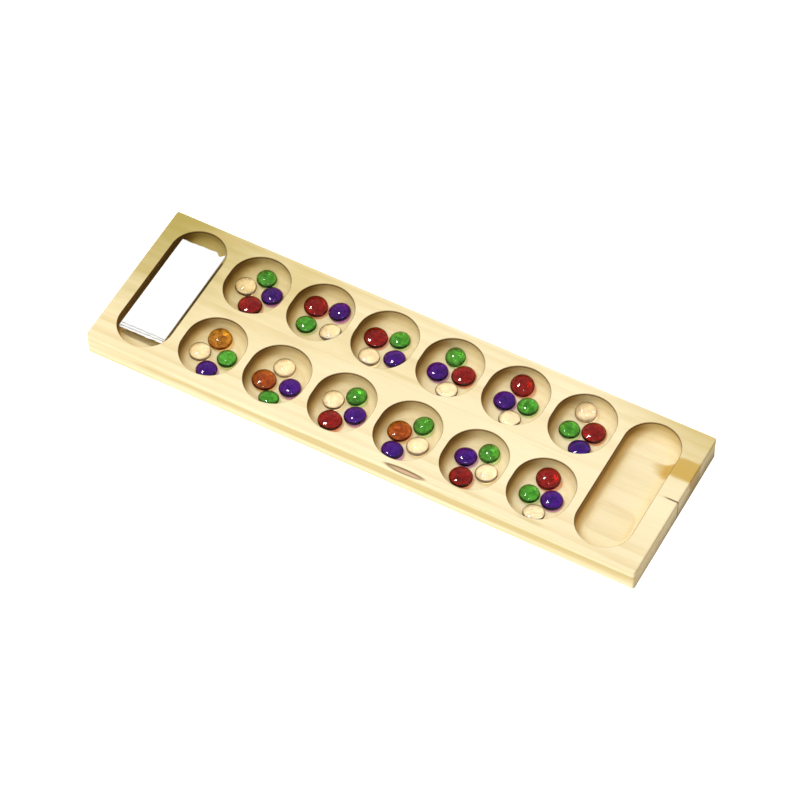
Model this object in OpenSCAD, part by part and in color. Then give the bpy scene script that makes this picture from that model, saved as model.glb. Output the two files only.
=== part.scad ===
// Mancala board: two pine staves glued edge to edge, with a dished pit
// for each hole of the game and a long store at each end, forty-eight glass
// stones that lift out of the pits, and a folded rules leaflet in one store.
//
// X runs along the board, Y from the front to the back, Z up. The origin is
// the middle of the underside, on the surface that the board rests on.

/* [Board] */
// Length of the board, end to end
board_l = 432; // [430:1:520]
// Width of the board, front to back
board_w = 129; // [126:0.5:160]
// Thickness of the board
board_t = 20; // [17:0.5:26]
// Radius of the board's four upright corners
corner_r = 3; // [1:0.5:8]
// Radius of the eased edges along the top and the underside
edge_r = 1.5; // [0.5:0.25:3]
// Place of the glue line, behind the middle of the board
glue_line_y = 2; // [-3:0.5:3]

/* [Pits] */
// Pits in each row
pits_per_row = 6; // [2:1:6]
// Width of a pit at its rim, along the board
pit_w = 45; // [42:0.5:46]
// Length of a pit at its rim, across the board
pit_l = 52.4; // [50:0.1:53]
// Depth of a pit
pit_depth = 12.5; // [11:0.5:15]
// Wood left between neighbouring pits of a row
pit_land = 6.9; // [3:0.1:7.5]
// Wood left between the two rows
row_land = 10.4; // [8:0.1:12]
// How far the rows sit to the right of the middle between the stores
rows_shift = 0.5; // [-1:0.1:1]

/* [Stores] */
// Width of a store at its rim
store_w = 41.4; // [38:0.1:42]
// Length of a store at its rim
store_l = 113.8; // [100:0.1:118]
// Depth of a store
store_depth = 12.5; // [11:0.5:15]
// Wood left between the left store and the end of the board
left_end_land = 12.4; // [8:0.1:13]
// Wood left between the right store and the end of the board
right_end_land = 16.2; // [8:0.1:17]

/* [Dished section] */
// Radius of the cove between a wall and the floor
cove_r = 10; // [7:0.5:10.5]
// Bevel that breaks the sharp rim
rim_bevel = 0.4; // [0.2:0.1:0.8]

/* [Stones] */
// Diameter of a red stone
red_d = 18; // [13:0.25:18.5]
// Diameter of a violet stone
violet_d = 16.5; // [13:0.25:18.5]
// Diameter of a clear stone
clear_d = 16.5; // [13:0.25:18.5]
// Diameter of a green stone
green_d = 15.5; // [13:0.25:18.5]
// Thickness of a stone, flat face to top of dome
stone_h = 6; // [5:0.25:7]
// Radius of the round edge of a stone
stone_edge_r = 2.2; // [1.8:0.1:2.4]
// Least gap between two stones that lie side by side
stone_gap = 0.4; // [0.3:0.1:1]
// Gap between a stone and the wood that it lies on
seat_gap = 0.2; // [0.1:0.05:0.4]

/* [Leaflet] */
// Width of the folded leaflet
leaflet_w = 36; // [28:0.5:37]
// Length of the folded leaflet
leaflet_l = 89.6; // [70:0.2:89.8]
// Thickness of one panel of the leaflet
panel_t = 0.5; // [0.3:0.1:0.6]
// Gap between two panels of the leaflet
panel_gap = 0.6; // [0.4:0.1:0.8]
// Gap between the leaflet's corners and the wood that they lie on
leaflet_gap = 0.3; // [0.2:0.05:0.5]
// How far the leaflet lies behind the middle of the store
leaflet_shift = 0.5; // [-1:0.1:1]

/* [Hidden] */
$fn = 96;
// a cutter runs this far past the face that it opens
past = 5;
// how far a stone's dome lies below one that meets the edge smoothly
dome_dip = 0.03;

pit_pitch = pit_w + pit_land;
row_y = (pit_l + row_land) / 2;
left_store_x = -board_l / 2 + left_end_land + store_w / 2;
right_store_x = board_l / 2 - right_end_land - store_w / 2;
rows_x = (left_store_x + right_store_x) / 2 + rows_shift;

// Each pit: how its four stones are swung round, how far the left and right
// ones are spread (0 is side by side, 1 is against the walls), how far the
// four lie behind the pit's middle, and their colours in the order back, left,
// front, right.
BACK_ROW = [
    [  3, 0.35,  2,   ["green", "clear", "red", "violet"]],
    [-38, 0.6,   2,   ["violet", "red", "green", "clear"]],
    [-27, 0.45, -0.5, ["green", "red", "clear", "violet"]],
    [ 16, 0.1,   1.5, ["green", "violet", "clear", "red"]],
    [ 10, 0.05,  0,   ["red", "violet", "clear", "green"]],
    [ 18, 0,     0.5, ["clear", "green", "violet", "red"]]];
FRONT_ROW = [
    [ 10, 0.3,  -0.5, ["red", "clear", "violet", "green"]],
    [  7, 0.2,  -1.5, ["clear", "red", "green", "violet"]],
    [-14, 0.3,   2.5, ["green", "clear", "red", "violet"]],
    [-18, 0.05,  0.5, ["green", "red", "violet", "clear"]],
    [-17, 0.25,  2.5, ["green", "violet", "red", "clear"]],
    [  8, 0,    -0.5, ["red", "green", "clear", "violet"]]];

function pit_centre(row, i) =
    [rows_x + (i - (pits_per_row - 1) / 2) * pit_pitch,
     row == "back" ? row_y : -row_y];

function stone_r(colour) =
    (colour == "red" ? red_d : colour == "violet" ? violet_d
        : colour == "clear" ? clear_d : green_d) / 2;

// The middle line of a pit, from which the wall is everywhere half the
// pit's width away, reaches this far to each side of its middle.
pit_spine = (pit_l - pit_w) / 2;
store_spine = (store_l - store_w) / 2;

// Stone k of a pit is 0 to 3 for back, left, front and right. It lies in this
// direction from the middle of the four.
function aim(pit, k) = pit[0] + 90 + 90 * k;

// How far a stone can lie from the middle of the four before it meets the
// wall: out to the long wall, or past its end to the round one
function room(pit, k) =
    let (free = pit_w / 2 - seat_gap - stone_r(pit[3][k]),
         across = cos(aim(pit, k)), along = sin(aim(pit, k)),
         to_wall = free / max(abs(across), 0.001),
         from_end = [0, pit[2] - sign(along) * pit_spine],
         inward = -from_end * [across, along])
    abs(pit[2] + to_wall * along) <= pit_spine ? to_wall
        : inward + sqrt(max(0, pow(inward, 2) - from_end * from_end + pow(free, 2)));

// Distance between the middles of two stones that lie side by side
function abreast(pit, k, m) = stone_r(pit[3][k]) + stone_r(pit[3][m]) + stone_gap;

// The left and right stones share the room between the walls, and move out
// where the back or front stone needs more. The back and front stones come
// up to both of them.
function side_reach(pit, k) =
    let (spare = room(pit, 1) + room(pit, 3) - abreast(pit, 1, 3))
    max([room(pit, k) - (1 - pit[1]) / 2 * spare,
        for (m = [0, 2]) sqrt(max(0, pow(abreast(pit, k, m), 2) - pow(room(pit, m), 2)))]);
function end_reach(pit, k) =
    max([for (m = [1, 3])
        sqrt(max(0, pow(abreast(pit, k, m), 2) - pow(side_reach(pit, m), 2)))]);
function stone_at(pit, k) =
    [0, pit[2]] + (k % 2 == 1 ? side_reach(pit, k) : end_reach(pit, k))
        * [cos(aim(pit, k)), sin(aim(pit, k))];

// Height above the floor of a point that keeps a gap from the cove, at a
// distance past the floor's edge.
function cove_rise(past_floor, gap) =
    cove_r - sqrt(max(0, pow(cove_r - gap, 2) - pow(max(0, past_floor), 2)));

// A stone leans on the dish: the inner end of its edge lies on the floor
// and the outer end on the cove. A few rounds settle the angle, from the
// stone's distance to the middle line and the radius to its edge's middle.
edge_gap = stone_edge_r + seat_gap;
function edge_rise(out) = cove_rise(out - (pit_w / 2 - cove_r), edge_gap) - edge_gap;
function lean(d, r, rounds = 6, tilt = 0) =
    rounds == 0 ? tilt
        : lean(d, r, rounds - 1, asin(edge_rise(d + r * cos(tilt)) / (2 * r)));

// Every stone: node name, colour, middle in plan, radius to the middle of
// its round edge, direction of its lean and angle of its lean.
function stone_row(row, pits) = [
    for (i = [0 : pits_per_row - 1], k = [0 : 3])
        let (colour = pits[i][3][k], p = stone_at(pits[i], k),
             spine_y = max(-pit_spine, min(pit_spine, p[1])),
             out = p - [0, spine_y],
             r = stone_r(colour) - stone_edge_r)
        [str("stone_", row, "_", i + 1, "_", colour), colour,
         pit_centre(row, i) + p, r, atan2(out[1], out[0]), lean(norm(out), r)]];
STONES = concat(stone_row("back", BACK_ROW), stone_row("front", FRONT_ROW));

// The leaflet's lower corners lie on the cove at the store's round ends, so
// its height follows from how far those corners are from the middle line.
corner_out = norm([leaflet_w / 2, max(0, leaflet_l / 2 + abs(leaflet_shift) - store_spine)]);
leaflet_z = board_t - store_depth
    + cove_rise(corner_out - (store_w / 2 - cove_r), leaflet_gap);

// ---- shapes that repeat ----

// Outline of a block with rounded corners
module rounded(w, h, r) {
    square([w - 2 * r, h], center = true);
    for (x = [-1, 1]) {
        translate([x * (w / 2 - r / 2), 0]) square([r, h - 2 * r], center = true);
        for (y = [-1, 1]) translate([x * (w / 2 - r), y * (h / 2 - r)]) circle(r);
    }
}

// Half of the dished section: floor, cove, upright wall and bevelled rim,
// with the floor's middle at the origin
module half_section(half_w, depth) {
    square([half_w - cove_r, depth + past]);
    translate([half_w - cove_r, cove_r]) intersection() {
        circle(cove_r);
        translate([0, -cove_r]) square(cove_r);
    }
    translate([half_w - cove_r, cove_r]) square([cove_r, depth + past - cove_r]);
    polygon([[half_w - 1, depth - 1 - rim_bevel], [half_w, depth - rim_bevel],
        [half_w + rim_bevel, depth], [half_w + rim_bevel, depth + past],
        [half_w - 1, depth + past]]);
}

// Cutter for a dished recess with round ends
module dish(half_w, spine, depth) {
    translate([0, 0, board_t - depth]) {
        for (side = [0, 1]) rotate(180 * side) translate([0, spine, 0])
            rotate_extrude(angle = 180) half_section(half_w, depth);
        rotate([90, 0, 0]) linear_extrude(2 * spine, center = true) {
            half_section(half_w, depth);
            mirror([1, 0]) half_section(half_w, depth);
        }
    }
}

// The whole board before it is split at the glue line
module plank() {
    intersection() {
        linear_extrude(board_t) rounded(board_l, board_w, corner_r);
        translate([0, 0, board_t / 2]) rotate([90, 0, 90])
            linear_extrude(board_l, center = true) rounded(board_w, board_t, edge_r);
        translate([0, 0, board_t / 2]) rotate([90, 0, 0])
            linear_extrude(board_w, center = true) rounded(board_l, board_t, edge_r);
    }
}

// One stave: the part of the plank on one side of the glue line, less the
// pits of its row and its share of both stores
module stave(row, from_y, to_y) {
    difference() {
        intersection() {
            plank();
            translate([-board_l / 2 - past, from_y, -past])
                cube([board_l + 2 * past, to_y - from_y, board_t + 2 * past]);
        }
        for (i = [0 : pits_per_row - 1]) translate(pit_centre(row, i))
            dish(pit_w / 2, pit_spine, pit_depth);
        for (x = [left_store_x, right_store_x]) translate([x, 0])
            dish(store_w / 2, store_spine, store_depth);
    }
}

// Half of a stone's section: flat base, round edge and low dome. The dome
// would run into the edge without a corner, but lies lower by dome_dip, so
// that the two arcs cross at one clear point.
module stone_section(r) {
    rise = stone_h + dome_dip - stone_edge_r;
    dome_r = (pow(r, 2) + pow(rise, 2) - pow(stone_edge_r, 2)) / (2 * (rise - stone_edge_r));
    dome_mid = [0, stone_h - dome_r];
    to_edge = [r, stone_edge_r] - dome_mid;
    aim = to_edge / norm(to_edge);
    // a point inside both arcs, where the fill and the dome share a corner
    inside = dome_mid + (dome_r - stone_edge_r / 2) * aim;
    polygon([[0, 0], [r, 0], [r, stone_edge_r], inside, [0, stone_h / 2]]);
    translate([r, stone_edge_r]) circle(stone_edge_r);
    intersection() {
        translate(dome_mid) circle(dome_r);
        polygon([[0, stone_h / 2], inside, dome_mid + (dome_r + past) * aim, [0, stone_h + past]]);
    }
}

// ---- the pieces ----

module back_stave() color("burlywood") stave("back", glue_line_y, board_w / 2 + past);

module front_stave() color("wheat") stave("front", -board_w / 2 - past, glue_line_y);

// A glass stone, from its entry in STONES
module stone(s) {
    paint = s[1] == "red" ? "firebrick" : s[1] == "violet" ? "indigo"
        : s[1] == "clear" ? "azure" : "forestgreen";
    r = s[3];
    floor_z = board_t - pit_depth + seat_gap;
    color(paint)
        translate([s[2][0], s[2][1], floor_z + stone_edge_r + r * sin(s[5])])
        rotate([0, 0, s[4]]) rotate([0, -s[5], 0]) translate([0, 0, -stone_edge_r])
        rotate_extrude() stone_section(r);
}

// The leaflet: one sheet folded twice, so three panels and two round folds
module rules_leaflet() {
    step = panel_t + panel_gap;
    fold_r = step / 2 + panel_t / 2;
    flat_w = leaflet_w - 2 * fold_r;
    color("white")
        translate([left_store_x, leaflet_shift, leaflet_z + panel_t / 2 + step])
        rotate([90, 0, 0]) linear_extrude(leaflet_l, center = true) {
            for (k = [-1 : 1]) translate([0, k * step]) square([flat_w, panel_t], center = true);
            for (k = [-1, 1]) translate([k * flat_w / 2, k * step / 2]) intersection() {
                difference() {
                    circle(fold_r);
                    circle(fold_r - panel_t);
                }
                translate([k > 0 ? 0 : -past, -past]) square([past, 2 * past]);
            }
        }
}

back_stave();
front_stave();
rules_leaflet();
for (s = STONES) stone(s);
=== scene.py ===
# %% [markdown]
# # A mancala board in pine, with glass stones
#
# The real thing is a pine board the size of a forearm, with two rows of six
# dished pits and a long store at each end. Forty-eight glass stones lie in the
# pits, four to a pit, and a folded sheet of rules lies in the left store.
#
# The carpentry is already done: the frame holds the two staves, the stones and
# the leaflet as plain solids, each in its true place. This lesson gives them
# their looks. The staves keep their shape and get a pine finish. The stones and
# the leaflet are made again with more life in them, and each new piece stands
# for the plain solid in the same place.

# %% Load the frame
import math
import random

import bpy
import bmesh
from mathutils import Matrix, Vector, noise


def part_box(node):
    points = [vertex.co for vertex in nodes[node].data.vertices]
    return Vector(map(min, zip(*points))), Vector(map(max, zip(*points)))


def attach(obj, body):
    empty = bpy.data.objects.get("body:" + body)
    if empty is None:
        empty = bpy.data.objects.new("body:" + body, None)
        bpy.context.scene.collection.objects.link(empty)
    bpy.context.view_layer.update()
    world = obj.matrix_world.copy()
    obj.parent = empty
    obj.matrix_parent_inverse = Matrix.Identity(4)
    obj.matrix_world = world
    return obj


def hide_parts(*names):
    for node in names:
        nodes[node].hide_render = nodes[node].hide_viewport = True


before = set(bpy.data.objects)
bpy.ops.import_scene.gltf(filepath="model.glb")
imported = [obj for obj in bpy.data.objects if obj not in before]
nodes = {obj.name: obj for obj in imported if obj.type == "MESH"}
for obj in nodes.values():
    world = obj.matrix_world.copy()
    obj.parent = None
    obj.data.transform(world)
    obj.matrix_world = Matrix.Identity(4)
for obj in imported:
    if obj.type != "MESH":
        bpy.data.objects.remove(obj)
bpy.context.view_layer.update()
MM = 0.001

# %% [markdown]
# ## Places to build from
#
# Everything is placed from the frame, so that nothing has to be fitted later.
# The glue line is where the two staves meet, and the other values are the
# board's own edges.

# %% Measure the board
back_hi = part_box("back_stave")[1]
front_lo, front_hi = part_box("front_stave")
board_end = back_hi.x
board_top = back_hi.z
front_edge = front_lo.y
back_edge = back_hi.y
glue_line = front_hi.y
print("glue line at y =", round(glue_line / MM, 2), "mm, top at z =", round(board_top / MM, 2), "mm")

# %% [markdown]
# ## Small tools for shader trees
#
# A finish is a tree of nodes. Written out by hand, each node takes four or five
# lines, so a few helpers keep the cells below short: `put` adds a node and fills
# its inputs with numbers or with other nodes' sockets, `calc` does the same for
# arithmetic, `spread` maps one range to another, and `blend` mixes two colours.
# `new_group` starts a node group with named inputs and outputs, `place_group`
# puts it into a material, and `new_material` starts an empty one.

# %% Helpers for nodes
def put(tree, kind, inputs=None, **settings):
    """Adds a node. A number or colour fills an input, and a socket is linked to it."""
    node = tree.nodes.new(kind)
    for name, value in settings.items():
        setattr(node, name, value)
    for name, value in (inputs or {}).items():
        socket = node.inputs[name]
        if isinstance(value, bpy.types.NodeSocket):
            tree.links.new(value, socket)
        else:
            socket.default_value = value
    return node


def calc(tree, operation, *values, clamp=False):
    """Arithmetic on numbers or sockets, as one output socket."""
    inputs = dict(enumerate(values))
    return put(tree, "ShaderNodeMath", inputs, operation=operation, use_clamp=clamp).outputs[0]


def spread(tree, value, low, high, to_low=0.0, to_high=1.0):
    """Maps low..high to to_low..to_high with soft ends."""
    inputs = {"Value": value, "From Min": low, "From Max": high, "To Min": to_low, "To Max": to_high}
    return put(tree, "ShaderNodeMapRange", inputs, interpolation_type="SMOOTHSTEP").outputs[0]


def blend(tree, factor, first, second, mode="MIX"):
    """Mixes two colours, each a socket or three numbers."""
    node = tree.nodes.new("ShaderNodeMix")
    node.data_type = "RGBA"
    node.blend_type = mode
    sockets = (node.inputs[0], node.inputs[6], node.inputs[7])
    for socket, value in zip(sockets, (factor, first, second)):
        if isinstance(value, bpy.types.NodeSocket):
            tree.links.new(value, socket)
        else:
            socket.default_value = value if isinstance(value, float) else (*value, 1.0)
    return node.outputs[2]


def new_group(name, inputs, outputs):
    """A node group. Each input is (name, kind, start value) and each output (name, kind)."""
    tree = bpy.data.node_groups.new(name, "ShaderNodeTree")
    for title, kind, start in inputs:
        socket = tree.interface.new_socket(title, in_out="INPUT", socket_type="NodeSocket" + kind)
        socket.default_value = (*start, 1.0) if kind == "Color" else start
    for title, kind in outputs:
        tree.interface.new_socket(title, in_out="OUTPUT", socket_type="NodeSocket" + kind)
    return tree, put(tree, "NodeGroupInput").outputs, put(tree, "NodeGroupOutput").inputs


def place_group(tree, group, inputs):
    """Puts a node group into a material, fills its inputs and gives its outputs."""
    return put(tree, "ShaderNodeGroup", inputs, node_tree=group).outputs


def new_material(name):
    """A material with an empty tree, as (material, tree)."""
    material = bpy.data.materials.new(name)
    material.use_nodes = True
    material.node_tree.nodes.clear()
    return material, material.node_tree


# %% [markdown]
# ## Pine: rings and fibres
#
# A board is a slice out of a trunk, and its figure is that trunk's yearly rings
# cut at a slant. The rings are built in three dimensions, as wavy cylinders
# round a pith that runs along the board below its underside. Where a pit dips
# into the wood it cuts the same rings again, so the ovals inside the pits come
# for free and always agree with the top and the ends.
#
# Each ring starts pale and soft in spring, darkens slowly and stops sharply, so
# the ring's tone is a ramp and not a wave.

# %% Group: pine rings
RING_INPUTS = [
    ("Pith Y", "Float", 0.0), ("Pith Z", "Float", -0.06), ("Ring Width", "Float", 0.004),
    ("Wander", "Float", 0.006), ("Seed", "Float", 0.0),
]
pine_rings, ring_in, ring_out = new_group("pine_rings", RING_INPUTS, [("Late", "Float")])
coords = put(pine_rings, "ShaderNodeTexCoord").outputs["Object"]
place = put(pine_rings, "ShaderNodeSeparateXYZ", {0: coords}).outputs
stretched = put(pine_rings, "ShaderNodeVectorMath", {0: coords, 1: (0.12, 1.0, 1.0)},
                operation="MULTIPLY").outputs[0]
drift = put(pine_rings, "ShaderNodeTexNoise", {
    "Vector": stretched, "W": ring_in["Seed"], "Scale": 22.0, "Detail": 1.5, "Roughness": 0.4,
}, noise_dimensions="4D").outputs["Fac"]
across = calc(pine_rings, "SUBTRACT", place["Y"], ring_in["Pith Y"])
up = calc(pine_rings, "SUBTRACT", place["Z"], ring_in["Pith Z"])
radius = calc(pine_rings, "POWER", calc(pine_rings, "ADD",
    calc(pine_rings, "MULTIPLY", across, across), calc(pine_rings, "MULTIPLY", up, up)), 0.5)
centred_drift = calc(pine_rings, "SUBTRACT", drift, 0.5)
shifted = calc(pine_rings, "MULTIPLY_ADD", centred_drift, ring_in["Wander"], radius)
phase = calc(pine_rings, "DIVIDE", shifted, ring_in["Ring Width"])
part_of_ring = calc(pine_rings, "FRACT", phase)
slow_rise = spread(pine_rings, part_of_ring, 0.25, 0.9)
sharp_stop = spread(pine_rings, part_of_ring, 0.9, 1.0, 1.0, 0.0)
pine_rings.links.new(calc(pine_rings, "MULTIPLY", slow_rise, sharp_stop), ring_out["Late"])
print("group:", pine_rings.name, "with", len(pine_rings.nodes), "nodes")

# %% [markdown]
# The fibres are much finer than the rings and run the same way. One stretched
# noise gives the faint streaks that sandpaper leaves visible, a second, cut off
# at a threshold, gives the short dark resin ducts, and a broad third one gives
# the clouds where the wood is more or less tan.

# %% Group: pine fibres
pine_fibres, fibre_in, fibre_out = new_group(
    "pine_fibres", [("Seed", "Float", 0.0)], [("Streak", "Float"), ("Duct", "Float"), ("Cloud", "Float")])
coords = put(pine_fibres, "ShaderNodeTexCoord").outputs["Object"]
along = put(pine_fibres, "ShaderNodeVectorMath", {0: coords, 1: (0.035, 1.0, 1.0)},
            operation="MULTIPLY").outputs[0]
streak = put(pine_fibres, "ShaderNodeTexNoise", {
    "Vector": along, "W": fibre_in["Seed"], "Scale": 900.0, "Detail": 3.0, "Roughness": 0.6,
}, noise_dimensions="4D").outputs["Fac"]
duct = put(pine_fibres, "ShaderNodeTexNoise", {
    "Vector": along, "W": calc(pine_fibres, "ADD", fibre_in["Seed"], 7.0), "Scale": 620.0, "Detail": 0.0,
}, noise_dimensions="4D").outputs["Fac"]
wide = put(pine_fibres, "ShaderNodeVectorMath", {0: coords, 1: (0.3, 1.0, 1.0)},
           operation="MULTIPLY").outputs[0]
cloud = put(pine_fibres, "ShaderNodeTexNoise", {
    "Vector": wide, "W": fibre_in["Seed"], "Scale": 28.0, "Detail": 3.0, "Roughness": 0.5,
}, noise_dimensions="4D").outputs["Fac"]
pine_fibres.links.new(streak, fibre_out["Streak"])
pine_fibres.links.new(spread(pine_fibres, duct, 0.76, 0.84), fibre_out["Duct"])
pine_fibres.links.new(cloud, fibre_out["Cloud"])
print("group:", pine_fibres.name, "with", len(pine_fibres.nodes), "nodes")

# %% [markdown]
# Wood is never even. A board has a pitch streak here and a darker patch there,
# and each is one soft oval in space. The group below turns a middle and three
# half-lengths into such an oval, with its border ruffled by noise so that it
# looks grown and not drawn.

# %% Group: soft oval
OVAL_INPUTS = [
    ("Middle", "Vector", (0.0, 0.0, 0.0)), ("Reach", "Vector", (0.01, 0.01, 0.01)),
    ("Soft", "Float", 0.4), ("Ruffle", "Float", 0.3),
]
soft_oval, oval_in, oval_out = new_group("soft_oval", OVAL_INPUTS, [("Mask", "Float")])
coords = put(soft_oval, "ShaderNodeTexCoord").outputs["Object"]
away = put(soft_oval, "ShaderNodeVectorMath", {0: coords, 1: oval_in["Middle"]},
           operation="SUBTRACT").outputs[0]
scaled = put(soft_oval, "ShaderNodeVectorMath", {0: away, 1: oval_in["Reach"]},
             operation="DIVIDE").outputs[0]
length = put(soft_oval, "ShaderNodeVectorMath", {0: scaled}, operation="LENGTH").outputs["Value"]
along = put(soft_oval, "ShaderNodeVectorMath", {0: coords, 1: (0.2, 1.0, 1.0)},
            operation="MULTIPLY").outputs[0]
ruffle = put(soft_oval, "ShaderNodeTexNoise", {"Vector": along, "Scale": 160.0, "Detail": 3.0}).outputs["Fac"]
centred_ruffle = calc(soft_oval, "SUBTRACT", ruffle, 0.5)
ruffled = calc(soft_oval, "MULTIPLY_ADD", centred_ruffle, oval_in["Ruffle"], length)
inner = calc(soft_oval, "SUBTRACT", 1.0, oval_in["Soft"])
soft_oval.links.new(spread(soft_oval, ruffled, 1.0, inner), oval_out["Mask"])
print("group:", soft_oval.name, "with", len(soft_oval.nodes), "nodes")

# %% [markdown]
# ## The pine finish
#
# Both staves are bare, sanded pine, so one function makes both. What differs is
# where each stave's pith lay, how tan it is and which marks it has. These are
# added to rings and fibres:
#
# - Cut ends drink light, so the board's two outer ends are darker.
# - The dishes get painted shade. Their left walls, which face away from the main
#   lamp, are browner, most of all near the top, the steep parts are a little
#   warmer and darker, less so on the lit right walls, and a thin dark line of
#   painted shade runs just under each rim.
# - The glue line is a hairline that opens into a short dark crack at the right
#   end. It is colour only: the two staves touch all along it.

# %% Pine material
CREAM = (0.835, 0.72, 0.46)
TAN = (0.50, 0.375, 0.105)
OLIVE = (0.36, 0.28, 0.055)
HONEY = (0.52, 0.325, 0.06)
UMBER = (0.22, 0.16, 0.07)
LATE_WOOD = (0.62, 0.43, 0.18)
RESIN = (0.20, 0.125, 0.045)
RESIN_HEART = (0.62, 0.40, 0.25)
DARK_GAP = (0.07, 0.035, 0.015)
END_TINT = (0.50, 0.455, 0.37)
# painted shade in the dishes: on the left walls, which face away from the main lamp, on the steep walls and
# in a line under each rim
LEFT_WALL_SHADE_TINT = (0.88, 0.68, 0.38)
DEEP_LEFT_WALL_SHADE_TINT = (0.36, 0.30, 0.21)
WALL_SHADE_TINT = (1.0, 0.92, 0.74)
RIM_SHADE_TINT = (0.20, 0.115, 0.045)

RING_WIDTH, RING_WANDER = 5.2 * MM, 13 * MM
MARK_RUFFLE = 0.45
# the outer faces' tints fade in over this strip, and the dishes' painted shade stops there
OUTER_STRIP = (4 * MM, 3 * MM)
# depths below the board's top, and distances from the glue line and the right end
DEEP_SHADE_SPAN = (10 * MM, 4.5 * MM)
RIM_SHADE_LINE = (2.0 * MM, 0.9 * MM)
HAIRLINE = (0.12 * MM, 0.3 * MM)
CRACK = (0.35 * MM, 0.95 * MM)
CRACK_LENGTH = (13 * MM, 6 * MM)
GRAIN_DEPTH = 0.05 * MM


def tinted(tree, factor, colour, tint):
    """A colour, multiplied by a tint where factor is 1."""
    return blend(tree, factor, colour, blend(tree, 1.0, colour, tint, "MULTIPLY"))


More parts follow.
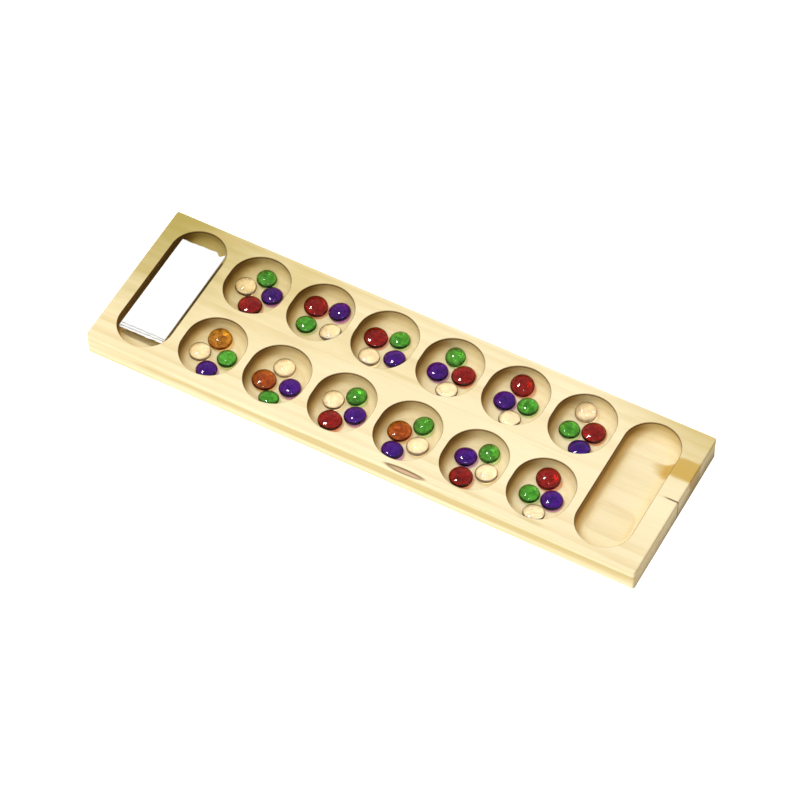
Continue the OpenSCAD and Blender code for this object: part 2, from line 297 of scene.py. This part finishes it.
def pine(name, pith, tan_share, seed, marks):
    """Bare pine. pith is its (y, z), and each mark is (middle, reach, soft, colour, strength)."""
    material, tree = new_material(name)
    rings = place_group(tree, pine_rings, {
        "Pith Y": pith[0], "Pith Z": pith[1], "Ring Width": RING_WIDTH, "Wander": RING_WANDER, "Seed": seed})
    fibres = place_group(tree, pine_fibres, {"Seed": seed})
    coords = put(tree, "ShaderNodeTexCoord").outputs
    place = put(tree, "ShaderNodeSeparateXYZ", {0: coords["Object"]}).outputs
    facing = put(tree, "ShaderNodeSeparateXYZ", {0: coords["Normal"]}).outputs

    cloudy = spread(tree, fibres["Cloud"], 0.3, 0.75)
    colour = blend(tree, calc(tree, "MULTIPLY", cloudy, tan_share), CREAM, TAN)
    late = calc(tree, "MULTIPLY", rings["Late"], calc(tree, "MULTIPLY_ADD", cloudy, 0.30, 0.12))
    colour = blend(tree, late, colour, LATE_WOOD)
    colour = blend(tree, calc(tree, "MULTIPLY", fibres["Duct"], 0.22), colour, LATE_WOOD)
    shade = spread(tree, fibres["Streak"], 0.25, 0.75, 0.95, 1.03)
    grey = put(tree, "ShaderNodeCombineColor", {0: shade, 1: shade, 2: shade}).outputs[0]
    colour = blend(tree, 1.0, colour, grey, "MULTIPLY")
    for middle, reach, soft, paint, strength in marks:
        oval = place_group(tree, soft_oval, {
            "Middle": middle, "Reach": reach, "Soft": soft, "Ruffle": MARK_RUFFLE})
        colour = blend(tree, calc(tree, "MULTIPLY", oval["Mask"], strength), colour, paint)

    from_x, from_y = calc(tree, "ABSOLUTE", place["X"]), calc(tree, "ABSOLUTE", place["Y"])
    within_x = spread(tree, from_x, board_end - OUTER_STRIP[0], board_end - OUTER_STRIP[1], 1.0, 0.0)
    within_y = spread(tree, from_y, back_edge - OUTER_STRIP[0], back_edge - OUTER_STRIP[1], 1.0, 0.0)
    in_dish = calc(tree, "MULTIPLY", within_x, within_y)
    end_grain = spread(tree, calc(tree, "ABSOLUTE", facing["X"]), 0.35, 0.95)
    outer_end = calc(tree, "MULTIPLY", end_grain, calc(tree, "SUBTRACT", 1.0, in_dish))
    colour = tinted(tree, outer_end, colour, END_TINT)

    # painted shade: the dishes' left walls, which face away from the main lamp, browner and darker near the
    # top
    left_wall_shade = calc(tree, "MULTIPLY", in_dish, spread(tree, facing["X"], 0.30, 0.95))
    colour = tinted(tree, left_wall_shade, colour, LEFT_WALL_SHADE_TINT)
    near_top = spread(tree, place["Z"], board_top - DEEP_SHADE_SPAN[0], board_top - DEEP_SHADE_SPAN[1])
    colour = tinted(tree, calc(tree, "MULTIPLY", left_wall_shade, near_top), colour, DEEP_LEFT_WALL_SHADE_TINT)
    # painted shade: steep walls and their foot warmer and darker, less so on the lit right walls
    upright = calc(tree, "ABSOLUTE", facing["Z"])
    foot = spread(tree, upright, 0.965, 0.995, 0.45, 0.0)
    steep_shade = calc(tree, "ADD", foot, spread(tree, upright, 0.30, 0.92, 0.55, 0.0))
    steep_shade = calc(tree, "MULTIPLY", steep_shade, spread(tree, facing["X"], -0.9, -0.3, 0.3, 1.0))
    colour = tinted(tree, calc(tree, "MULTIPLY", in_dish, steep_shade), colour, WALL_SHADE_TINT)
    # painted shade: a thin dark line just under each rim
    under_rim = spread(tree, place["Z"], board_top - RIM_SHADE_LINE[0], board_top - RIM_SHADE_LINE[1])
    on_wall = spread(tree, upright, 0.6, 0.97, 0.9, 0.0)
    rim_shade = calc(tree, "MULTIPLY", on_wall, calc(tree, "MULTIPLY", in_dish, under_rim))
    colour = tinted(tree, rim_shade, colour, RIM_SHADE_TINT)

    off_line = calc(tree, "ABSOLUTE", calc(tree, "SUBTRACT", place["Y"], glue_line))
    hair = spread(tree, off_line, *HAIRLINE, 1.0, 0.0)
    crack = spread(tree, off_line, *CRACK, 1.0, 0.0)
    near_end = spread(tree, place["X"], board_end - CRACK_LENGTH[0], board_end - CRACK_LENGTH[1])
    open_crack = calc(tree, "MULTIPLY", crack, near_end)
    colour = blend(tree, calc(tree, "MULTIPLY", hair, 0.30), colour, LATE_WOOD)
    colour = blend(tree, calc(tree, "MULTIPLY", open_crack, 0.85), colour, DARK_GAP)

    ridges, hairs = calc(tree, "MULTIPLY", rings["Late"], 0.5), calc(tree, "MULTIPLY", fibres["Streak"], 0.7)
    height = calc(tree, "ADD", ridges, hairs)
    height = calc(tree, "SUBTRACT", height, calc(tree, "MULTIPLY", fibres["Duct"], 0.6))
    bump = put(tree, "ShaderNodeBump", {"Height": height, "Strength": 0.5, "Distance": GRAIN_DEPTH})
    rough = spread(tree, fibres["Streak"], 0.2, 0.8, 0.5, 0.68)
    surface = put(tree, "ShaderNodeBsdfPrincipled", {
        "Base Color": colour, "Roughness": rough, "Normal": bump.outputs["Normal"],
        "Specular IOR Level": 0.16,
    })
    put(tree, "ShaderNodeOutputMaterial", {"Surface": surface.outputs[0]})
    print("finish:", name, "with", len(tree.nodes), "nodes")
    return material


# %% [markdown]
# The marks are places on this board. The tone drifts from olive and tan at the
# back left corner to cream at the front right. A brown pitch lens sits on the
# front edge, a honey patch runs from the right end into the store, and softer
# bands and streaks lie along the rows. Two marks are painted shade: they darken
# the right end towards its bottom and its back. Later marks are painted over
# earlier ones.

# %% Finish the staves
def mark(middle, reach, soft, paint, strength):
    """A soft oval of colour round a middle, with its three half-lengths in millimetres."""
    return middle, tuple(v * MM for v in reach), soft, paint, strength


back_left = (-board_end, back_edge, board_top)
back_right = (board_end, back_edge, board_top)
low_right = (board_end, back_edge, 0.0)
wide_corner = mark(back_left, (330, 170, 300), 1.0, TAN, 0.45)
deep_corner = mark(back_left, (118, 115, 200), 1.0, OLIVE, 0.90)
# painted shade: the right end darker towards its bottom and its back
low_end_shade = mark(low_right, (4, 190, 15), 1.0, UMBER, 1.0)

tan_band = mark((60 * MM, front_edge, board_top - 9 * MM), (330, 3, 4.2), 0.45, TAN, 0.66)
late_line = mark((90 * MM, front_edge, board_top - 12.5 * MM), (330, 3, 1.1), 0.6, LATE_WOOD, 0.7)
pitch_lens = mark((38.5 * MM, front_edge + 1.4 * MM, board_top - 0.2 * MM), (19, 2.3, 3.4), 0.35, RESIN, 0.95)
lens_heart = mark((40 * MM, front_edge + 0.9 * MM, board_top - 0.2 * MM), (16, 1.25, 2.2), 0.6,
                  RESIN_HEART, 0.9)
right_streak = mark((134 * MM, front_edge + 5 * MM, board_top), (16, 2.6, 4), 0.9, TAN, 0.40)
middle_streak = mark((92 * MM, front_edge + 6 * MM, board_top), (22, 3, 4), 0.9, TAN, 0.25)

far_left_patch = mark((-172 * MM, back_edge - 6 * MM, board_top), (24, 4, 6), 0.8, LATE_WOOD, 0.35)
honey_patch = mark((board_end, 29 * MM, board_top), (41, 10.5, 24), 0.25, HONEY, 0.92)
streak_between_rows = mark((-8 * MM, 8 * MM, board_top), (62, 4.0, 5), 0.9, TAN, 0.35)
tan_right_corner = mark(back_right, (105, 46, 16), 0.95, TAN, 0.64)
tan_cloud = mark((-104 * MM, 44 * MM, board_top), (34, 34, 8), 1.0, TAN, 0.45)
# painted shade: more of the same darkening low on the right end, towards the back
olive_low_end_shade = mark(low_right, (4, 110, 15), 1.0, OLIVE, 0.75)

front_marks = [wide_corner, deep_corner, tan_band, late_line, pitch_lens, lens_heart, low_end_shade,
               right_streak, middle_streak]
back_marks = [wide_corner, deep_corner, far_left_patch, honey_patch, streak_between_rows,
              tan_right_corner, tan_cloud, low_end_shade, olive_low_end_shade]
back_pine = pine("back_pine", (0.012, -0.045), 0.24, 3.1, back_marks)
front_pine = pine("front_pine", (-0.020, -0.052), 0.14, 9.4, front_marks)


def finish_node(node, material):
    """Gives a solid of the frame its material, and keeps its shape and place."""
    nodes[node].data.materials.clear()
    nodes[node].data.materials.append(material)


finish_node("back_stave", back_pine)
finish_node("front_stave", front_pine)

# %% [markdown]
# ## Glass
#
# Coloured glass is clear at its surface and coloured in its depth: light loses
# some of its colours for every millimetre it travels inside. So each stone has a
# clear, glossy surface and an absorbing inside, and its thin parts come out
# paler than its thick middle. A real stone looks dark at its outline, because
# its round edge bends the light away. Here that dark outline is painted shade:
# a dark tint on the surface where it turns away from the eye or from straight up.
#
# Light that a lamp sends through glass is hard to find for a renderer. A usual
# trick is to let lamps shine straight through: the Light Path node swaps the
# surface for a transparent one when a lamp is asking. The inside still takes
# its share of the colours, so the wood below each stone gets a coloured glow.

# %% Group: glass swirl
glass_swirl, swirl_in, swirl_out = new_group(
    "glass_swirl", [("Depth", "Float", 0.2)], [("Tint", "Color"), ("Wave", "Float"), ("Haze", "Float")])
coords = put(glass_swirl, "ShaderNodeTexCoord").outputs["Object"]
bent = put(glass_swirl, "ShaderNodeTexNoise", {
    "Vector": coords, "Scale": 130.0, "Detail": 1.0}).outputs["Color"]
pushed = put(glass_swirl, "ShaderNodeVectorMath", {0: bent, 1: (0.012, 0.012, 0.012), 2: coords},
             operation="MULTIPLY_ADD").outputs[0]
cord = put(glass_swirl, "ShaderNodeTexNoise", {
    "Vector": pushed, "Scale": 260.0, "Detail": 2.0}).outputs["Fac"]
thin_cord = spread(glass_swirl, cord, 0.3, 0.7, -1.0, 0.0)
tone = calc(glass_swirl, "MULTIPLY_ADD", thin_cord, swirl_in["Depth"], 1.0)
glass_swirl.links.new(put(glass_swirl, "ShaderNodeCombineColor", {0: tone, 1: tone, 2: tone}).outputs[0],
                      swirl_out["Tint"])
wave = put(glass_swirl, "ShaderNodeTexNoise", {
    "Vector": coords, "Scale": 190.0, "Detail": 1.0}).outputs["Fac"]
glass_swirl.links.new(wave, swirl_out["Wave"])
glass_swirl.links.new(spread(glass_swirl, cord, 0.35, 0.8), swirl_out["Haze"])
print("group:", glass_swirl.name, "with", len(glass_swirl.nodes), "nodes")


# %% Glass material
GLASS_IOR = 1.5
SHINE = (0.6, 0.6, 0.6, 1.0)
LAMP_TINT = (0.84, 0.78, 0.66, 1.0)
WAVE_DEPTH = 0.3 * MM


def glass(name, absorbs, swirl, rim_shade):
    """Glass whose inside takes away so much of red, green and blue for each millimetre.

    swirl is how deep its cords are, and rim the painted shade tint of its outline.
    """
    material, tree = new_material(name)
    marks = place_group(tree, glass_swirl, {"Depth": swirl})
    # painted shade: the surface is tinted dark where it grazes the view and where it tilts away from straight
    # up
    grazing = put(tree, "ShaderNodeLayerWeight", {"Blend": 0.5}).outputs["Facing"]
    outline_shade = spread(tree, grazing, 0.34, 0.78)
    normal = put(tree, "ShaderNodeTexCoord").outputs["Normal"]
    upright = calc(tree, "ABSOLUTE", put(tree, "ShaderNodeSeparateXYZ", {0: normal}).outputs["Z"])
    edge = calc(tree, "MAXIMUM", outline_shade, spread(tree, upright, 0.62, 0.975, 0.95, 0.0))
    colour = blend(tree, edge, marks["Tint"], rim_shade)
    bump = put(tree, "ShaderNodeBump", {"Height": marks["Wave"], "Strength": 0.45, "Distance": WAVE_DEPTH})
    rough = spread(tree, marks["Haze"], 0.0, 1.0, 0.015, 0.07)
    surface = put(tree, "ShaderNodeBsdfPrincipled", {
        "Base Color": colour, "Roughness": rough, "Normal": bump.outputs["Normal"],
        "IOR": GLASS_IOR, "Transmission Weight": 1.0, "Specular Tint": SHINE,
    })
    let_through = put(tree, "ShaderNodeBsdfTransparent", {"Color": LAMP_TINT})
    asking = put(tree, "ShaderNodeLightPath").outputs["Is Shadow Ray"]
    mixed = put(tree, "ShaderNodeMixShader", {0: asking, 1: surface.outputs[0], 2: let_through.outputs[0]})
    most = max(absorbs)
    kept = tuple(1.0 - a / most for a in absorbs)
    inside = put(tree, "ShaderNodeVolumeAbsorption", {"Color": (*kept, 1.0), "Density": most / MM})
    put(tree, "ShaderNodeOutputMaterial", {"Surface": mixed.outputs[0], "Volume": inside.outputs[0]})
    print("finish:", name, "absorbs", absorbs, "per mm")
    return material


glass_kinds = {
    "green": glass("green_glass", (0.24, 0.078, 0.28), 0.50, (0.05, 0.022, 0.015)),
    "violet": glass("violet_glass", (0.27, 0.72, 0.090), 0.40, (0.08, 0.03, 0.02)),
    "ruby": glass("ruby_glass", (0.122, 0.48, 0.62), 0.50, (0.06, 0.010, 0.006)),
    "orange": glass("orange_glass", (0.074, 0.21, 0.56), 0.60, (0.10, 0.02, 0.008)),
    "amber": glass("amber_glass", (0.045, 0.115, 0.42), 0.70, (0.12, 0.02, 0.006)),
    "clear": glass("clear_glass", (0.011, 0.013, 0.009), 0.22, (0.10, 0.06, 0.03)),
}

# %% [markdown]
# ## The stones
#
# A glass stone starts as a hot drop that is let fall on a flat plate. It sets
# with a flat base, a round edge and a low dome, and no two are alike: some are
# oval, some lean. The frame's stones are perfectly round, so each is measured
# first (where its flat base lies, which way it tilts, how wide and tall it is)
# and a livelier drop is then built inside it.

# %% Measure a stone
def measure_stone(node):
    """Base middle, axis, flat radius, full radius and height of a stone of the frame."""
    mesh = nodes[node].data
    area, corners = {}, {}
    for face in mesh.polygons:
        key = tuple(round(c, 3) for c in face.normal)
        area[key] = area.get(key, 0.0) + face.area
        corners.setdefault(key, set()).update(face.vertices)
    down = max(area, key=area.get)
    axis = -Vector(down).normalized()
    turn = axis.to_track_quat("Z", "Y").to_matrix()
    local = [turn.transposed() @ mesh.vertices[i].co for i in corners[down]]
    middle = Vector([(max(p[k] for p in local) + min(p[k] for p in local)) / 2 for k in range(3)])
    flat = max((p - middle).length for p in local)
    every = [turn.transposed() @ v.co - middle for v in mesh.vertices]
    full = max(math.hypot(p.x, p.y) for p in every)
    height = max(p.z for p in every)
    return turn @ middle, turn, flat, full, height


sample = measure_stone("stone_back_1_green")
print("stone_back_1_green: flat radius %.2f, radius %.2f, height %.2f mm" % tuple(v / MM for v in sample[2:]))

# %% [markdown]
# A drop is a stack of rings, from the middle of the base round the edge to the
# top of the dome. The outline is squeezed by two slow waves, one that makes it
# oval and one that gives it three soft sides, and the dome is lowered a little
# and dented with noise. All of these only take glass away, so no stone outgrows
# the solid that it stands for.

# %% Build a stone
SEGMENTS = 56
ARC_STEPS = 10
BASE_RINGS = (0.0, 0.35, 0.7, 0.93)
SIDES_SHARE, DOME_SHARE = (0.005, 0.02), (0.93, 1.0)
DENT_SHARE, DENTS_PER_METRE = 0.014, 210
TOP_SHARE = 0.99


def drop_profile(flat, full, height):
    """Points (radius, height) from the base's middle to the top of the dome."""
    edge = full - flat
    points = [(flat * share, 0.0) for share in BASE_RINGS]
    rise = height - edge
    dome_r = (flat ** 2 + rise ** 2 - edge ** 2) / (2 * (rise - edge))
    meet = math.atan2(edge - (height - dome_r), flat)
    for k in range(ARC_STEPS + 1):
        a = -math.pi / 2 + (meet + math.pi / 2) * k / ARC_STEPS
        points.append((flat + edge * math.cos(a), edge + edge * math.sin(a)))
    for k in range(1, ARC_STEPS):
        a = meet + (math.pi / 2 - meet) * k / ARC_STEPS
        points.append((dome_r * math.cos(a), height - dome_r + dome_r * math.sin(a)))
    return points


def make_stone(name, node, oval, oval_angle, chance):
    """A drop of glass inside one of the frame's stones."""
    base, turn, flat, full, height = measure_stone(node)
    edge = full - flat
    sides, sides_angle = chance.uniform(*SIDES_SHARE), chance.uniform(0, 2 * math.pi)
    dome = chance.uniform(*DOME_SHARE)
    offset = Vector((chance.uniform(-1, 1), chance.uniform(-1, 1), chance.uniform(-9, 9)))
    mesh = bmesh.new()
    rings = []
    for radius, z in drop_profile(flat, full, height):
        if radius == 0.0:
            rings.append([mesh.verts.new((0, 0, z))])
            continue
        ring = []
        for s in range(SEGMENTS):
            a = 2 * math.pi * s / SEGMENTS
            squeeze = oval * (0.5 - 0.5 * math.cos(2 * (a - oval_angle)))
            squeeze += sides * (0.5 - 0.5 * math.cos(3 * (a - sides_angle)))
            r = radius * (1 - squeeze)
            z_here = edge + (z - edge) * dome if z > edge else z
            spot = Vector((r * math.cos(a), r * math.sin(a), z_here))
            dent = 0.5 + 0.5 * noise.noise(spot * DENTS_PER_METRE + offset)
            if z > 0:
                spot *= 1 - DENT_SHARE * dent
            ring.append(mesh.verts.new(spot))
        rings.append(ring)
    top = mesh.verts.new((0, 0, edge + (height - edge) * dome * TOP_SHARE))
    rings.append([top])
    for low, high in zip(rings, rings[1:]):
        for s in range(SEGMENTS):
            t = (s + 1) % SEGMENTS
            corners = [low[0]] if len(low) == 1 else [low[t], low[s]]
            corners += [high[0]] if len(high) == 1 else [high[s], high[t]]
            mesh.faces.new(corners)
    bmesh.ops.recalc_face_normals(mesh, faces=mesh.faces)
    mesh.transform(Matrix.Translation(base) @ turn.to_4x4())
    data = bpy.data.meshes.new(name)
    mesh.to_mesh(data)
    mesh.free()
    data.polygons.foreach_set("use_smooth", [True] * len(data.polygons))
    stone = bpy.data.objects.new(name, data)
    bpy.context.scene.collection.objects.link(stone)
    return stone


# %% [markdown]
# The red stones are not all one red: most are ruby, two are orange and one is
# amber. Everything else about a stone is drawn from a seeded generator, so the
# same drops fall every time the script runs.

# %% Lay out the stones
WARM_ONES = {"stone_front_1_red": "amber", "stone_front_2_red": "orange", "stone_front_4_red": "orange"}
MOST_OVAL = 0.05
STONE_SEED = 48
chance = random.Random(STONE_SEED)
stone_nodes = [n for n in nodes if n.startswith("stone_")]
for node in sorted(stone_nodes):
    colour = node.rsplit("_", 1)[1]
    kind = WARM_ONES.get(node, "ruby" if colour == "red" else colour)
    oval, oval_angle = chance.uniform(0.0, MOST_OVAL), chance.uniform(0, math.pi)
    drop = make_stone(node.replace("stone", "drop"), node, oval, oval_angle, chance)
    drop.data.materials.append(glass_kinds[kind])
    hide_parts(node)
    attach(drop, node)
print("stones made:", len(stone_nodes))

# %% [markdown]
# ## The leaflet
#
# The rules are one sheet of paper folded twice along its length, so its section
# is a flat S: three panels and two tight folds. It was folded by hand and springs
# a little, so the panels aren't quite parallel and their ends don't line up. The
# sheet is laid out as a grid: one way follows the S, the other runs along the
# leaflet, and each panel has its own two ends.

# %% Group: paper fibre
paper_fibre, fibre_in, fibre_out = new_group("paper_fibre", [("Scale", "Float", 900.0)],
                                             [("Shade", "Float"), ("Height", "Float")])
coords = put(paper_fibre, "ShaderNodeTexCoord").outputs["Object"]
fine = put(paper_fibre, "ShaderNodeTexNoise", {
    "Vector": coords, "Scale": fibre_in["Scale"], "Detail": 4.0}).outputs["Fac"]
broad = put(paper_fibre, "ShaderNodeTexNoise", {
    "Vector": coords, "Scale": 60.0, "Detail": 2.0}).outputs["Fac"]
broad_share = calc(paper_fibre, "MULTIPLY", broad, 0.65)
paper_fibre.links.new(calc(paper_fibre, "MULTIPLY_ADD", fine, 0.35, broad_share), fibre_out["Shade"])
paper_fibre.links.new(fine, fibre_out["Height"])
print("group:", paper_fibre.name, "with", len(paper_fibre.nodes), "nodes")

# %% Paper material
PAPER_SHADE, PAPER_WHITE = (0.86, 0.86, 0.855), (0.93, 0.93, 0.93)
paper, tree = new_material("white_paper")
fibre = place_group(tree, paper_fibre, {"Scale": 900.0})
colour = blend(tree, spread(tree, fibre["Shade"], 0.35, 0.65), PAPER_SHADE, PAPER_WHITE)
bump = put(tree, "ShaderNodeBump", {"Height": fibre["Height"], "Strength": 0.2, "Distance": 0.02 * MM})
surface = put(tree, "ShaderNodeBsdfPrincipled", {
    "Base Color": colour, "Roughness": spread(tree, fibre["Shade"], 0.3, 0.7, 0.7, 0.85),
    "Normal": bump.outputs["Normal"], "Specular IOR Level": 0.25,
})
put(tree, "ShaderNodeOutputMaterial", {"Surface": surface.outputs[0]})
print("finish:", paper.name)

# %% Fold the sheet
leaf_lo, leaf_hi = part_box("rules_leaflet")
SHEET_T = 0.2 * MM
PANEL_POINTS, FOLD_POINTS, LONG_POINTS = 30, 8, 36


def folded_section(width, height):
    """Middle line of the S, from the top panel to the bottom one, as (across, up, which panel)."""
    fold_r = height / 4
    half = width / 2 - fold_r
    points = []
    for panel in range(3):
        z = height - panel * 2 * fold_r
        direction = 1 if panel % 2 == 0 else -1
        for k in range(PANEL_POINTS):
            points.append((direction * (-half + 2 * half * k / (PANEL_POINTS - 1)), z, float(panel)))
        if panel < 2:
            for k in range(1, FOLD_POINTS):
                a = math.pi * k / FOLD_POINTS
                across = direction * (half + fold_r * math.sin(a))
                points.append((across, z - fold_r + fold_r * math.cos(a), panel + k / FOLD_POINTS))
    return points


# How far each panel's ends lie behind the leaflet's own two ends, at its left
# and right side, from the top panel to the bottom one
FRONT_ENDS = [(3.0 * MM, 3.4 * MM), (1.2 * MM, 2.4 * MM), (0.0, 0.6 * MM)]
BACK_ENDS = [(-1.0 * MM, 0.2 * MM), (-2.4 * MM, -0.3 * MM), (-1.8 * MM, -0.3 * MM)]
# A nick in the back ends: its place and half-width as shares of the leaflet's
# width, and its depth
NOTCH_PLACE, NOTCH_REACH, NOTCH_DEPTH = 0.90, 0.09, 3.4 * MM
EDGE_RUFFLE = 0.5 * MM
PAPER_WAVE, PAPER_SAG = 0.16 * MM, -0.12 * MM


def sheet_ends(panel, share):
    """Front and back end of the sheet at a panel, where share runs across it from left to right."""
    k = min(int(panel), 1)
    t = panel - k
    ends = []
    for table in (FRONT_ENDS, BACK_ENDS):
        near = table[k][0] + (table[k][1] - table[k][0]) * share
        far = table[k + 1][0] + (table[k + 1][1] - table[k + 1][0]) * share
        ruffle = noise.noise(Vector((share * 7, panel * 3, near * 90))) * EDGE_RUFFLE
        ends.append(near + (far - near) * t + ruffle)
    nick = max(0.0, 1 - abs(share - NOTCH_PLACE) / NOTCH_REACH)
    return leaf_lo.y + ends[0], leaf_hi.y + ends[1] - NOTCH_DEPTH * nick


def make_leaflet():
    """The folded sheet, as a thin solid."""
    width = leaf_hi.x - leaf_lo.x - SHEET_T
    height = leaf_hi.z - leaf_lo.z - 2 * SHEET_T
    middle = (leaf_lo.x + leaf_hi.x) / 2
    mesh = bmesh.new()
    columns = []
    for across, up, panel in folded_section(width, height):
        share = 0.5 + across / width
        front, back = sheet_ends(panel, share)
        column = []
        for k in range(LONG_POINTS):
            v = k / (LONG_POINTS - 1)
            y = front + (back - front) * v
            wave = noise.noise(Vector((across * 40, y * 22, panel * 5.0))) * PAPER_WAVE
            sag = PAPER_SAG * math.sin(math.pi * v) * (1 - abs(2 * share - 1))
            z = leaf_lo.z + SHEET_T + up + wave + sag
            column.append(mesh.verts.new((middle + across, y, z)))
        columns.append(column)
    for left, right in zip(columns, columns[1:]):
        for k in range(LONG_POINTS - 1):
            mesh.faces.new((left[k], right[k], right[k + 1], left[k + 1]))
    data = bpy.data.meshes.new("folded_rules")
    mesh.to_mesh(data)
    mesh.free()
    data.polygons.foreach_set("use_smooth", [True] * len(data.polygons))
    leaflet = bpy.data.objects.new("folded_rules", data)
    bpy.context.scene.collection.objects.link(leaflet)
    leaflet.data.materials.append(paper)
    thick = leaflet.modifiers.new("paper thickness", "SOLIDIFY")
    thick.thickness = SHEET_T
    thick.offset = 0.0
    return leaflet


leaflet = make_leaflet()
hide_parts("rules_leaflet")
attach(leaflet, "leaflet")
print("leaflet:", [round(v / MM, 1) for v in leaf_hi - leaf_lo], "mm")

# %% [markdown]
# ## Floor, light and camera
#
# The board lies on a light table: a plain pale floor with a glow of its own,
# which takes the shadows away and lights the sides from below. The main light
# is a soft lamp high on the left, which puts the left wall of every pit in
# shade. A smaller, weaker lamp in front sets a small spark on every stone. A
# bright, even sky fills the rest.

# %% Floor
FLOOR_HALF = 4.0
FLOOR_GAP = 0.2 * MM
FLOOR_GLOW = 0.85
floor_mesh = bpy.data.meshes.new("floor")
floor_mesh.from_pydata(
    [(-FLOOR_HALF, -FLOOR_HALF, 0), (FLOOR_HALF, -FLOOR_HALF, 0), (FLOOR_HALF, FLOOR_HALF, 0),
     (-FLOOR_HALF, FLOOR_HALF, 0)], [], [(0, 1, 2, 3)])
floor = bpy.data.objects.new("floor", floor_mesh)
bpy.context.scene.collection.objects.link(floor)
floor.location.z = -FLOOR_GAP
floor_paint, tree = new_material("floor_paint")
surface = put(tree, "ShaderNodeBsdfPrincipled", {
    "Base Color": (0.9, 0.9, 0.9, 1.0), "Roughness": 0.9, "Specular IOR Level": 0.1,
    "Emission Color": (1.0, 0.995, 0.985, 1.0), "Emission Strength": FLOOR_GLOW})
put(tree, "ShaderNodeOutputMaterial", {"Surface": surface.outputs[0]})
floor.data.materials.append(floor_paint)

# %% Lights
SKY_STRENGTH = 0.64
LAMP_DISTANCE = 3.2
scene = bpy.context.scene
scene.view_settings.view_transform = "Standard"
sky = bpy.data.worlds.new("studio_sky")
sky.use_nodes = True
background = sky.node_tree.nodes["Background"]
background.inputs["Color"].default_value = (1.0, 1.0, 1.0, 1.0)
background.inputs["Strength"].default_value = SKY_STRENGTH
scene.world = sky


def lamp(name, toward, size, watts):
    """A square lamp that shines at the middle of the board from a direction."""
    data = bpy.data.lights.new(name, "AREA")
    data.energy = watts
    data.size = size
    light = bpy.data.objects.new(name, data)
    scene.collection.objects.link(light)
    light.location = Vector(toward).normalized() * LAMP_DISTANCE
    light.rotation_mode = "QUATERNION"
    light.rotation_quaternion = Vector(toward).to_track_quat("Z", "Y")


lamp("main_lamp", (-0.36, -0.03, 0.93), 0.62, 64.5)
lamp("spark_lamp", (0.18, -0.34, 0.92), 0.34, 8.0)

# %% [markdown]
# The camera stands well back with a long lens, which keeps the board's sides
# nearly parallel, and looks down on it from the front right.

# %% Camera
CAMERA_AZIMUTH, CAMERA_ELEVATION = 28.33, 52.88
CAMERA_DISTANCE = 2.664
LENS_MM, SENSOR_MM = 170.6, 36.0
AIM_BACK = 2.6 * MM
azimuth, elevation = math.radians(CAMERA_AZIMUTH), math.radians(CAMERA_ELEVATION)
level = math.cos(elevation)
back = Vector((math.sin(azimuth) * level, -math.cos(azimuth) * level, math.sin(elevation)))
aim = Vector((0.0, AIM_BACK, 0.0))
camera_data = bpy.data.cameras.new("camera")
camera_data.lens = LENS_MM
camera_data.sensor_width = SENSOR_MM
camera_data.clip_start, camera_data.clip_end = 0.1, 20.0
camera = bpy.data.objects.new("camera", camera_data)
scene.collection.objects.link(camera)
camera.location = aim + back * CAMERA_DISTANCE
camera.rotation_mode = "QUATERNION"
camera.rotation_quaternion = back.to_track_quat("Z", "Y")
scene.camera = camera
print("camera at", [round(v, 3) for v in camera.location])
